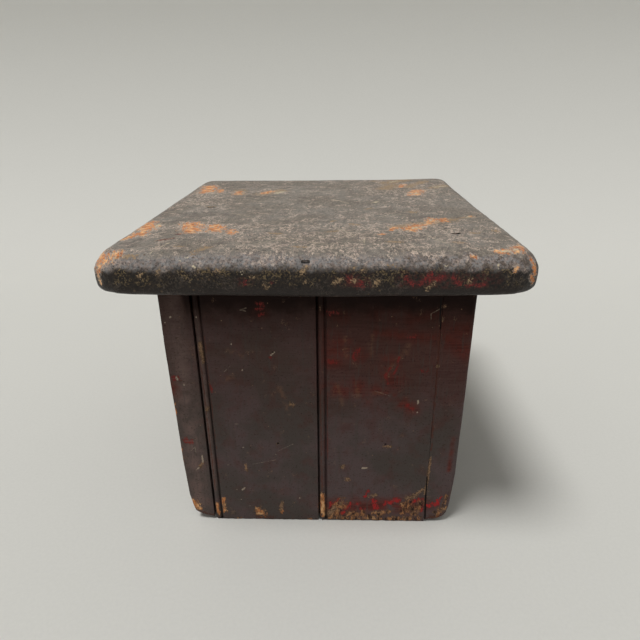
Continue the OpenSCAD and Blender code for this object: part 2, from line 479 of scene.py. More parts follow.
    rough = calc("MULTIPLY_ADD", peel, 0.22, between(edge, 0.44, 0.34))
    rough = most(rough, times(most(bare, under), 0.8))
    chipped = most(bare, red, times(worms, 0.5))
    heights = [(peel, 0.35), (crinkle, 0.3), (fine, 0.25), (streaks, 0.05), (chipped, -0.12), (tan, 0.15),
               (grain, 0.05)]
    finishMaterial(colour, rough, heights, 0.3)
    return material


# The boards' paint

boardPaint = {
    # pale: painted light on the left corner strip and the left bead
    "mauve": (89, 75, 74), "green": (77, 69, 65), "maroon": (84, 51, 45), "pale": (112, 93, 87),
    "black": (36, 27, 24), "haze": (100, 46, 38), "hazeLine": (52, 26, 22), "swirl": (140, 102, 76),
    "grime": (36, 17, 9), "deepGrime": (24, 8, 4),                              # painted shade under the seat
    "red": (168, 44, 44), "redDim": (98, 42, 37), "ochre": (144, 114, 88), "ochreDim": (94, 74, 58),
    "cream": (166, 150, 132), "bareDim": (98, 72, 52), "wood": (146, 108, 76), "rub": (86, 50, 40),
    "pit": (14, 9, 8), "inside": (150, 118, 84), "insideDark": (96, 70, 48),
}

# Scratches in the front boards' paint: two ends across and up, and a width in mm
boardScratches = [
    (-64.1, 133.2, -59.5, 137.9, 0.5), (-29.4, 66.6, -18, 73.1, 0.5), (-48.7, 54.5, -32, 58.4, 0.5),
    (75.1, 177, 80.6, 180.5, 0.5), (75.1, 177, 75.5, 173.3, 0.4), (-94.5, 65.9, -91.1, 69.6, 0.6),
    (-91.1, 69.6, -90.9, 64.1, 0.6), (-49.6, 179.6, -45.6, 181, 0.7), (-49.6, 179.6, -46, 178.8, 0.5),
    (40.6, 118.7, 51.2, 114.7, 0.4), (-58.8, 29.5, -56.3, 31.5, 0.7), (71, 111.6, 71.2, 108.3, 0.9),
    (33.1, 51.8, 36.8, 51.8, 0.8), (-59.7, 90.3, -57.5, 90.3, 0.7), (-86.6, 62.3, -86.5, 56, 0.8),
]


def makeBoardPaint():
    paint = boardPaint
    material, place = newMaterial("agedBoardPaint")
    across, back, height = addNode("SeparateXYZ", {0: place}).outputs

    cloudy = clouds(place, 46, 4, 0.6)
    blotches = clouds(place, 12, 4, 0.62)
    fine = clouds(place, 1.3, 4, 0.65)
    lumps = clouds(place, 3.2, 3, 0.55)
    level = clouds(stretched(place, (0.06, 0.06, 1)), 1.1, 2, 0.5)      # brush strokes across
    upright = clouds(stretched(place, (1, 1, 0.07)), 1.7, 3, 0.6)       # and along the grain
    ragged = rise(clouds(stretched(place, (1, 1, 0.5)), 2.2, 6, 0.75, 0.7), 0.34, 0.66)
    crumbs = rise(clouds(place, 1.0, 4, 0.7), 0.36, 0.64)
    flakes = clouds(stretched(place, (1, 1, 0.55)), 2.7, 5, 0.66)

    # the right half of the front wall is redder and chipped more
    rightSide = rise(across, 4 * mm, 6 * mm)
    upper = rise(calc("MULTIPLY_ADD", blotches, 0.03, height), 0.085, 0.165)
    haze = times(field("redHaze"), rise(blotches, 0.30, 0.55))
    lines = times(rise(level, 0.50, 0.60), most(times(haze, 0.5), between(upper, 0.04, 0.24)),
                  between(rightSide, 0.45, 1.0))
    # painted shade under the seat's overhang: the paint is darker towards the seat, a little less so at the
    # left corner strip
    shade = times(rise(calc("MULTIPLY_ADD", blotches, 0.016, height), 0.150, 0.204),
                  rise(across, -84 * mm, -91 * mm, 1, 0.6))
    specks = most(dots(place, 4.5, 0.14, 0.11),
                  times(squiggles(place, 1.8, 0.025), rise(clouds(place, 8, 2), 0.62, 0.70)))
    colour = coats(
        blend(rise(cloudy, 0.42, 0.58), paint["green"], paint["mauve"]), paint,
        (rise(blotches, 0.48, 0.66, 0, 0.35), "maroon"),
        (times(upper, rise(across, -4 * mm, 4 * mm, 0.35, 0.8)), "maroon"),
        # painted light on the left corner strip, and a painted highlight on the worn crest of the left bead
        (times(field("paleHaze"), rise(blotches, 0.25, 0.6)), "pale"), (haze, "haze"),
        (times(field("tanHaze"), rise(lumps, 0.36, 0.58), 0.32), "swirl"), (lines, "hazeLine"),
        (rise(upright, 0.54, 0.66, 0, 0.45), "green"), (rise(fine, 0.44, 0.32, 0, 0.62), "black"),
        # painted shade under the seat, deepest right below it
        (shade, "grime"), (rise(shade, 0.65, 0.95), "deepGrime"), (times(specks, 0.6), "ochre"))

    redDim = times(torn("redCoat", ragged, 1.1, 0.42, 0.18), rise(level, 0.60, 0.48, 0.2, 0.8))
    red = times(torn("redCoat", ragged, 1.0, 0.66, 0.14), rise(height, 0.034, 0.022, 0.28, 0.95))
    bareDim = times(torn("bareWood", ragged, 1.4, 0.40, 0.14), between(crumbs, 0.4, 1.0))
    solid = times(torn("bareWood", ragged, 0.75, 0.54, 0.14), rise(flakes, 0.42, 0.52, 0.5, 1.0))
    mottled = times(torn("bareWood", ragged, 0.8, 0.62, 0.16), rise(flakes, 0.45, 0.56, 0.12, 1.0))
    bare = calc("MULTIPLY_ADD", calc("SUBTRACT", mottled, solid), rightSide, solid)
    soot = times(rise(field("bareWood"), 0.2, 0.5), rise(flakes, 0.46, 0.36), between(rightSide, 0.15, 1.0))
    tan = torn("tanChip", crumbs, 1.0, 0.64, 0.08)
    front = boxLow.y / mm
    onFront = [((x, front, z), (xEnd, front, zEnd), width) for x, z, xEnd, zEnd, width in boardScratches]
    line = times(scratches(place, onFront), between(crumbs, 0.0, 0.5))
    wood, grain = bareWood(place, (1, 1, 0.2))
    # the inner faces and the joints were never painted
    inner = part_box("right_board_back")[0].x, -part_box("front_upper_cleat")[0].y
    inside = times(calc("LESS_THAN", calc("ABSOLUTE", across), inner[0] + 0.4 * mm),
                   calc("LESS_THAN", calc("ABSOLUTE", back), inner[1] + 0.4 * mm))
    colour = coats(
        colour, paint, (redDim, "redDim"), (red, "red"), (bareDim, "bareDim"),
        (bare, blend(between(rightSide, 0.7, 0.3), paint["wood"], wood)), (soot, "black"),
        (times(torn("edgeRub", ragged, 1.1, 0.54, 0.14), 0.7), "rub"),
        (torn("tanChip", ragged, 1.0, 0.40, 0.14), "ochreDim"), (tan, "ochre"),
        (torn("creamChip", crumbs, 0.25, 0.62, 0.14), "cream"), (line, "cream"),
        (torn("pit", fine, 0.3, 0.55, 0.10), "pit"),
        (inside, blend(rise(grain, 0.3, 0.7), paint["insideDark"], paint["inside"])))

    rough = most(calc("MULTIPLY_ADD", lumps, 0.22, 0.38), times(most(bare, inside), 0.8))
    heights = [(lumps, 0.14), (fine, 0.09), (level, 0.05), (upright, 0.07), (most(bare, red), -0.1),
               (tan, 0.1)]
    finishMaterial(colour, rough, heights, 0.08)
    return material


cleatWood = {"dark": (112, 80, 52), "light": (176, 138, 96), "dirt": (84, 66, 52)}


def makeCleatWood():
    material, place = newMaterial("sawnCleatWood")
    grain = clouds(stretched(place, (0.1, 0.1, 1)), 2.4, 5, 0.6, 0.5)
    saw = clouds(stretched(place, (1, 1, 0.06)), 1.6, 2, 0.5)
    dirt = clouds(place, 22, 4, 0.6)
    colour = blend(rise(grain, 0.3, 0.68), cleatWood["dark"], cleatWood["light"])
    colour = blend(rise(dirt, 0.45, 0.75), colour, cleatWood["dirt"])
    rough = calc("MULTIPLY_ADD", dirt, 0.15, 0.72)
    finishMaterial(colour, rough, [(saw, 0.25), (grain, 0.1)])
    return material


nailIron = {"iron": (40, 32, 30), "rust": (104, 56, 34)}


def makeNailIron():
    material, place = newMaterial("rustyNailIron")
    rust = clouds(place, 1.6, 5, 0.65)
    scale = clouds(place, 0.6, 3, 0.6)
    colour = blend(rise(rust, 0.4, 0.65), nailIron["iron"], nailIron["rust"])
    finishMaterial(colour, between(rust, 0.5, 0.85), [(rust, 0.1), (scale, 0.05)])
    return material


seatMaterial = makeSeatPaint()
boardMaterial = makeBoardPaint()
cleatMaterial = makeCleatWood()
nailMaterial = makeNailIron()
print("materials made")


# The seat board

seatShape = {
    "cornerRound": 17.5, "topRound": 12.5, "bottomRound": 5.5,
    "cell": 1.5,                                               # size of the mesh's squares
    # uneven surfaces: size and height of the bumps, how much of it goes inwards, and where
    "bumps": [("longWaves", 70, 0.9), ("shortWaves", 16, 0.4), ("edgeLumps", 4, 0.6, 0.5, "rounded")],
    # how much lower the front edge hangs, by place across, and how far its lower arris stands out
    "hang": [(-125, 0.2), (-95, 0.6), (0, 1.7), (98, 0.9), (125, 0.3)],
    "arris": 0.7,
    "wander": 0.75,                                            # how ragged the strokes of wear are
}

# Where the seat is knocked or worn: place, move and reach in mm
seatPushes = [
    ((133, 148, 225), (0.2, 0.2, 1.2), 70),           # warped back corner
    ((-127, -141, 225), (2.4, 1.4, -2.2), 13),        # left front corner, worn down on top
    ((-133, -140, 210), (-0.7, 0, 0), 16),
    ((-120, -146, 201), (0.1, 0.1, 0.5), 12),
    ((130, -144, 222), (-0.8, 0.8, -0.8), 12),
    ((133, -140, 210), (0.8, 0, 0), 16),
    ((120, -146, 201), (0, 0.2, 0.4), 14),
    ((-73, -145, 222), (0, 0.4, -0.9), 12),           # scrape beside the left corner
    ((-4, -145, 221), (0, 0.5, -0.8), 7),             # gouge
    ((76, -147, 217), (0, 0.5, -0.3), 9),
    ((30, -148, 213), (0, 0.5, 0), 8),
    ((52, -148, 211), (0, 0.5, 0), 6),
    ((-40, -148, 212), (0, 0.5, 0), 7),
    ((-101, -148, 212), (0, 0.4, 0), 5),
    ((-90, -7, 225), (0, 0, -0.5), 6),                # nails
    ((91, -97, 225), (0, 0, -0.6), 6),
    ((-91, -97, 225), (0, 0, -0.35), 5),
    ((-91, 82, 225), (0, 0, -0.35), 5),
    ((91, 82, 225), (0, 0, -0.35), 5),
    ((91, -7, 225), (0, 0, -0.35), 5),
    ((-88, -75, 225), (0, 0, -0.35), 10),             # hollows where the paint is gone
    ((-66, -80, 225), (0, 0, -0.3), 8),
    ((80, -64, 225), (0, 0, -0.3), 9),
]

# Slots in the seat: place, size and turn
seatSlots = [((-89.5, -7.2, 224.8), (5.0, 3.2, 5.0), 2), ((91.4, -97.3, 224.8), (4.6, 3.4, 5.0), -12),
             ((-4.4, -144.8, 220.4), (4.8, 2.2, 1.0), 10)]

# Wear on the seat's top: x and y of a stroke's two ends, and its radius
topWear = {
    "bareWood": [
        (-110, 66, -114, 98, 6.4), (-96, 66, -98, 78, 2.6), (-78, 52, -79, 66, 3.4),
        (-54, 56, -48, 66, 3.6), (84, 46, 91, 68, 5.2), (-117, -100, -116, -72, 4.4),
        (-121, -82, -121, -62, 3.8), (-118.5, -100, -122, -110, 2.4), (-84, -88, -90, -69, 6.0),
        (-68, -89, -71, -76, 4.8), (-56, -96, -58, -88, 3.0), (-131, -131, -128, -139, 5.2),
        (-127, -139, -119, -140, 4.6), (-128, -143, -127, -143, 2.8), (80, -66, 83, -55, 3.6),
        (89, -63, 91, -56, 2.6), (73, -77, 79, -69, 1.6), (63, -86, 70, -75, 4.6), (50, -88, 54, -81, 1.8),
        (107, -138.5, 121, -137.5, 2.2), (119, -134, 124, -129, 2.8), (127, -139, 129, -142.4, 1.6),
        (91, -143, 93.2, -143.5, 1.0), (77, 87, 81, 103, 2.4), (40, -100, 44, -99, 1.2),
        (112, -48, 113, -46, 1.0),
    ],
    "tanChip": [
        (-117, -143, -104, -142.6, 1.2), (-76, 52, -79, 74, 4.6), (-54, 54, -40, 70, 6.0),
        (60, 80, 70, 100, 6.0), (66, 115, 84, 132, 6.4), (110, 86, 122, 94, 4.2), (84, 88, 92, 104, 4.4),
        (52.5, 129, 54, 128, 2.4), (98, 110, 104, 120, 4.0), (106, 82, 110, 82, 3.0),
        (37, -18, 41.4, -14, 1.2), (72, -30, 73, -31, 3.0), (106, -53, 114, -48, 2.2),
        (101.7, -97.5, 106.3, -97.5, 1.5), (118.7, -92, 119, -93, 2.0), (-92, -5.6, -87, -5.6, 1.4),
        (56, -80, 96, -58, 4.6), (-30, -96, -24, -98, 1.5), (8, -92, 14, -90, 1.6), (24, -70, 29, -73, 1.5),
        (-12, -130, -6, -131, 1.4), (-64.5, -130, -64, -131, 2.2), (-71, -139.4, -64.6, -132.5, 1.5),
        (-84, -128, -80, -128, 1.2), (46, -118, 52, -120, 1.6), (86, -120, 90, -121, 1.5),
        (10, -62, 12, -60, 1.4),
    ],
    "redCoat": [(-90.6, -98, -90.6, -98, 1.7), (-100, -115, -90, -109, 0.9)],
    "creamChip": [
        (-91, -121, -91, -121, 1.0), (-77.3, -144.8, -73.2, -142, 1.0), (-72.5, -145.6, -69, -147.2, 1.0),
        (47.2, 11.3, 47.6, 13, 2.4), (-42, 55, -37, 65, 2.6), (110, 86, 122, 92, 2.0),
        (70, 120, 78, 128, 1.6), (109, -139, 113, -138.6, 1.0), (116, -137, 119, -136.4, 1.0),
        (-113, -68, -113, -76, 1.2), (-120, -142, -117, -142, 1.3), (65, -84, 68, -80, 1.4),
        (81, -60, 82, -57, 1.4), (85, 50, 88, 56, 1.6), (108, -51, 112, -49, 1.2),
    ],
}
# Wear on the front edge: x and z of a stroke's two ends, and its radius
edgeWear = {
    "bareWood": [(-128, 216, -126.3, 207, 1.1), (126, 211.5, 127.6, 208, 1.4), (115.3, 217, 115.6, 217, 1.4)],
    "tanChip": [
        (-101.4, 212.8, -101, 212.8, 1.4), (-89.3, 216.8, -90.2, 213.4, 0.9),
        (-56, 215.6, -55.6, 215.6, 1.1), (-37.2, 212, -32.5, 211.5, 0.7), (-29.2, 207.8, -27, 205.4, 0.8),
        (-4.2, 209, -4, 209, 1.2), (-6.4, 214.5, -4, 217.8, 1.2), (22.9, 217.2, 23.2, 217.2, 1.0),
        (28, 215.6, 28.4, 215.6, 0.9), (43.5, 218.7, 46.3, 218.2, 0.7), (12, 208.5, 17.8, 211.5, 0.9),
        (23.6, 209.7, 23.8, 209.7, 1.4), (36.8, 208.5, 37, 208.3, 1.7), (69, 208, 69.4, 208, 1.1),
        (90, 211, 90, 208.5, 0.8), (65.3, 204.8, 65.8, 204.8, 1.0), (126.6, 210, 127, 209, 1.0),
    ],
    "redCoat": [
        (-39.6, 210, -39.3, 207.6, 0.8), (-24, 208.5, -24, 208.3, 0.8), (20, 211.5, 27.6, 207, 1.8),
        (53, 211.5, 58, 207.8, 1.0), (62, 208, 67.5, 214, 1.1), (67.5, 214, 67.8, 208.5, 1.1),
        (70, 211, 75.5, 212, 1.2), (80, 212, 84.5, 207.8, 1.1), (89, 207, 91.3, 207.8, 1.0),
        (94, 207, 99.3, 207.8, 1.0),
    ],
    "creamChip": [(-41.7, 213.3, -40.5, 215.6, 0.7), (75.3, 217.7, 77, 219.2, 0.8),
                  (105.3, 219.2, 105.2, 217.2, 0.8)],
}
# Where specks are thick on the top, and where the edge is reddish
topGrit = [
    (-50, -95, 90, -95, 26), (60, 78, 76, 130, 27), (100, 60, 104, 100, 10), (-80, 64, -45, 64, 9),
    (-40, -125, 70, -128, 12), (-105, 10, -100, 50, 20), (75, 25, 85, 85, 18), (-75, -75, -105, -80, 16),
]
edgeHaze = [(54, 209, 100, 209, 5), (18, 210, 30, 208, 4), (-42, 209, -38, 209, 2)]


def onTop(x, y):  # a place on the seat's top, with its rounding
    corner, top = seatShape["cornerRound"], seatShape["topRound"]
    apart = math.hypot(max(0, abs(x) - seatHigh.x / mm + corner), max(0, abs(y) - seatHigh.y / mm + corner))
    over = min(max(0, top - corner + apart), top)
    return x, y, seatHigh.z / mm - top + math.sqrt(top ** 2 - over ** 2)


def onEdge(along, z, side="front"):  # a place on one of the seat's edges, with its roundings
    corner, top, bottom = (seatShape[key] for key in ("cornerRound", "topRound", "bottomRound"))
    halfLong, halfOut = seatHigh.x / mm, seatHigh.y / mm
    if side in ("left", "right"):
        halfLong, halfOut = halfOut, halfLong
    above, below = max(0, z - seatHigh.z / mm + top), max(0, seatLow.z / mm + bottom - z)
    inset = top - math.sqrt(max(0, top ** 2 - above ** 2))
    inset += bottom - math.sqrt(max(0, bottom ** 2 - below ** 2))
    beside = max(0, abs(along) - halfLong + corner)
    out = halfOut - corner + math.sqrt(max(0, (corner - inset) ** 2 - beside ** 2))
    return {"front": (along, -out, z), "back": (-along, out, z),
            "left": (-out, -along, z), "right": (out, along, z)}[side]


def scatterEdgeWear(rng):  # wear on the edges that the photograph doesn't show
    wear = {name: [] for name in topWear}
    for side in ("left", "right", "back"):
        for name, count, size in (("tanChip", 15, 1.1), ("redCoat", 8, 1.2), ("creamChip", 3, 0.8),
                                  ("bareWood", 3, 1.4)):
            for i in range(count):
                along, up = rng.uniform(-118, 118), rng.uniform(204, 217)
                alongEnd, upEnd = along + rng.uniform(-4, 4), up + rng.uniform(-2, 2)
                stroke = along, up, alongEnd, upEnd, size * rng.uniform(0.7, 1.3)
                wear[name] += lay([stroke], lambda along, z: onEdge(along, z, side))
    return wear


def modelSeat():
    seat = addCube("seat", seatLow, seatHigh)
    startEdit(seat)
    pickAlong(seat, 2, mm)
    bpy.ops.mesh.bevel(offset=seatShape["cornerRound"] * mm, segments=10)
    pickEdges(seat, lambda point: point.z > seatHigh.z - tiny)
    bpy.ops.mesh.bevel(offset=seatShape["topRound"] * mm, segments=10)
    pickEdges(seat, lambda point: point.z < seatLow.z + tiny)
    bpy.ops.mesh.bevel(offset=seatShape["bottomRound"] * mm, segments=6)
    endEdit()
    applyModifier(seat, "REMESH", mode="VOXEL", voxel_size=seatShape["cell"] * mm)
    applyModifier(seat, "SMOOTH", factor=0.5, iterations=3)

    # lumps on the edge: none on the flat top or the underside, all of them from 4 mm below the top
    groupByPlace(seat, "rounded", lambda place: (place.z > seatHigh.z - 22 * mm)
                 * (seatHigh.z - place.z) / (4 * mm))
    for bumps in seatShape["bumps"]:
        unevenSurface(seat, *bumps)
    # the front edge hangs most at its lowest, and the rest of the wood follows less and less
    hangAt, hangBy = zip(*seatShape["hang"])
    shift(seat, "hang", "Z", -max(hangBy), lambda place: max(0, 1 - (place.z - seatLow.z) / (13 * mm))
          * share(place.y, -105 * mm, -135 * mm) * np.interp(place.x / mm, hangAt, hangBy) / max(hangBy))
    shift(seat, "arris", "Y", -seatShape["arris"],
          lambda place: max(0, 1 - abs(place.z - seatLow.z - 2 * mm) / (6 * mm))
          * share(place.y, -140 * mm, -144 * mm) * (abs(place.x) < 118 * mm))
    pushIn(seat, seatPushes)
    cutters = []
    for place, size, turn in seatSlots:
        half = Vector(size) / 2 * mm
        cutter = addCube("slotCutter", Vector(place) * mm - half, Vector(place) * mm + half)
        startEdit(cutter)
        bpy.ops.mesh.bevel(offset=min(size) * 0.3 * mm, segments=2)
        bpy.ops.transform.rotate(value=math.radians(turn), orient_axis="Z",
                                 center_override=Vector(place) * mm)
        endEdit()
        cutters.append(cutter)
    cutOut(seat, cutters)
    points = pointsOf(seat, seatShape["wander"])
    otherEdges = scatterEdgeWear(random.Random(23))
    for name in topWear:
        strokeField(seat, name, lay(topWear[name], onTop) + lay(edgeWear[name], onEdge) + otherEdges[name],
                  points)
    strokeField(seat, "grit", lay(topGrit, onTop), points)
    strokeField(seat, "redHaze", lay(edgeHaze, onEdge), points)
    strokeField(seat, "pit", [((x - long * 0.3, y, z), (x + long * 0.3, y, z), wide * 0.7)
                            for (x, y, z), (long, wide, deep), turn in seatSlots], points)
    finishPiece(seat, seatMaterial, "painted_seat", "seat_board")


modelSeat()
print("seat modelled")


# The beaded boards

boardShape = {
    "thick": 20.6, "bead": 4.5, "quirk": 1.3, "tongueThick": 6, "tongueLong": 6, "slack": 0.3,
    "cell": 1.0,           # size of the squares on the faces that show
    "arris": 0.5,          # rounding of the milled edge
    "planedArris": 0.8,    # and of an edge planed by hand
    "quirkArris": 0.35,    # rounding beside the bead's quirk
    "floorRound": 0.4,     # rounding of the lower ends
    "height": 200,
    "bumps": [("boardWaves", 45, 0.45, 0.5, "aboveFloor"), ("paintLumps", 7, 0.2, 0.5, "aboveFloor"),
              ("floorWear", 4, 0.9, 0.85, "floorEnd")],
    "wander": 0.7,         # how ragged the strokes of wear are
}


def millBoard(name, width, grooved, tongued, arris):
    # drawn as a flat section, grooved edge at x = 0 and face at y = thick, and then drawn out upwards
    thick, bead, quirk = (boardShape[key] * mm for key in ("thick", "bead", "quirk"))
    tongue, slack = boardShape["tongueThick"] / 2 * mm, boardShape["slack"] * mm
    groove, long = tongue + slack, boardShape["tongueLong"] * mm
    wide, cell = width * mm, boardShape["cell"] * mm
    board = addPlane(name, Vector(), Vector((wide, thick, 0)))
    startEdit(board)
    across = [long + slack, wide - bead - quirk, wide - bead]
    upward = [thick / 2 - groove, thick / 2 - tongue, thick / 2 + tongue, thick / 2 + groove,
              thick - bead / 2]
    for x in across:
        pickAll()
        bpy.ops.mesh.bisect(plane_co=(x, 0, 0), plane_no=(1, 0, 0))
    for y in upward:
        pickAll()
        bpy.ops.mesh.bisect(plane_co=(0, y, 0), plane_no=(0, 1, 0))
    if grooved:
        pick(board, "FACE", lambda face: middle(face).x < across[0]
             and abs(middle(face).y - thick / 2) < groove)
        bpy.ops.mesh.delete(type="FACE")
    pick(board, "FACE", lambda face: across[1] < middle(face).x < across[2] and middle(face).y > upward[4])
    bpy.ops.mesh.delete(type="FACE")
    if tongued:
        pick(board, "EDGE", lambda edge: min(vert.co.x for vert in edge.verts) > wide - tiny
             and abs(middle(edge).y - thick / 2) < tongue)
        extrude(long, 0, 0)
    pickAll()
    bpy.ops.mesh.dissolve_faces()
    pickAll()
    bpy.ops.mesh.dissolve_limited(angle_limit=math.radians(1))
    pick(board, "VERT", lambda vert: vert.co.y > thick - tiny and vert.co.x > across[2] - tiny)
    bpy.ops.mesh.bevel(offset=bead / 2 * 0.999, segments=7, affect="VERTICES")    # they don't quite meet
    pick(board, "VERT", lambda vert: vert.co.y > thick - tiny and vert.co.x < tiny)
    bpy.ops.mesh.bevel(offset=arris * mm, segments=4, affect="VERTICES")
    pick(board, "VERT", lambda vert: vert.co.y > thick - tiny and abs(vert.co.x - across[1]) < tiny)
    bpy.ops.mesh.bevel(offset=boardShape["quirkArris"] * mm, segments=2, affect="VERTICES")
    # the long edges that show get small squares
    # (one stretch at a time, because two at once would be joined across the groove)
    shown = [lambda point: point.y > thick - tiny,
             lambda point: point.x < tiny and (point.y > thick / 2 or not grooved),
             lambda point: point.x < tiny and point.y < thick / 2,
             lambda point: abs(point.x - wide) < tiny]
    for stretch in shown:
        for length in (70, 18, 6, 3):
            pick(board, "EDGE", lambda edge: all(stretch(vert.co) for vert in edge.verts)
                 and edge.calc_length() > max(length * mm, 2 * cell))
            edited = bmesh.from_edit_mesh(board.data)
            lengths = [edge.calc_length() for edge in edited.edges if edge.select]
            if lengths:
                bpy.ops.mesh.subdivide(number_cuts=round(max(lengths) / cell) - 1)
    bpy.ops.mesh.select_mode(type="FACE")
    pickAll()
    tall = boardShape["height"] * mm
    extrude(0, 0, tall)
    pickAll()
    bpy.ops.mesh.normals_make_consistent(inside=False)
    pickEdges(board, lambda point: point.z < tiny)
    bpy.ops.mesh.bevel(offset=boardShape["floorRound"] * mm, segments=2)
    pickAlong(board, 2, tall / 2)
    bpy.ops.mesh.subdivide(number_cuts=round(tall / cell) - 1)
    endEdit()
    return board


frontLow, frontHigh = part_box("front_board_left")
sideLow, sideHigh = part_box("left_board_front")
fullWidth = (frontHigh - frontLow).x / mm
planedWidth = (sideHigh - sideLow).y / mm - boardShape["tongueLong"]
milled = {
    "joined": millBoard("joinedBoard", fullWidth, True, True, boardShape["arris"]),
    "last": millBoard("lastBoard", fullWidth, True, False, boardShape["arris"]),
    "first": millBoard("firstBoard", planedWidth, False, True, boardShape["planedArris"]),
}
print("boards milled")

# Which milled board each node is
boardKinds = {
    "front_board_left": "last", "front_board_right": "joined",
    "back_board_left": "joined", "back_board_right": "last",
    "left_board_front": "first", "left_board_middle": "joined", "left_board_back": "last",
    "right_board_front": "last", "right_board_middle": "joined", "right_board_back": "first",
}
wallTurn = {"front": 180, "back": 0, "left": 90, "right": -90}


def wallCorner(node, wall):  # where the milled board's inner grooved edge goes
    low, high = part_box(node)
    return {"front": (high.x, high.y), "back": (low.x, low.y),
            "left": (high.x, low.y), "right": (low.x, high.y)}[wall]


def onWall(wall, across, height):  # a place on a wall's outer face, seen from outside, in mm
    halfWide, halfDeep = boxHigh.x / mm, boxHigh.y / mm
    return {"front": (across, -halfDeep, height), "back": (-across, halfDeep, height),
            "left": (-halfWide, -across, height), "right": (halfWide, across, height)}[wall]
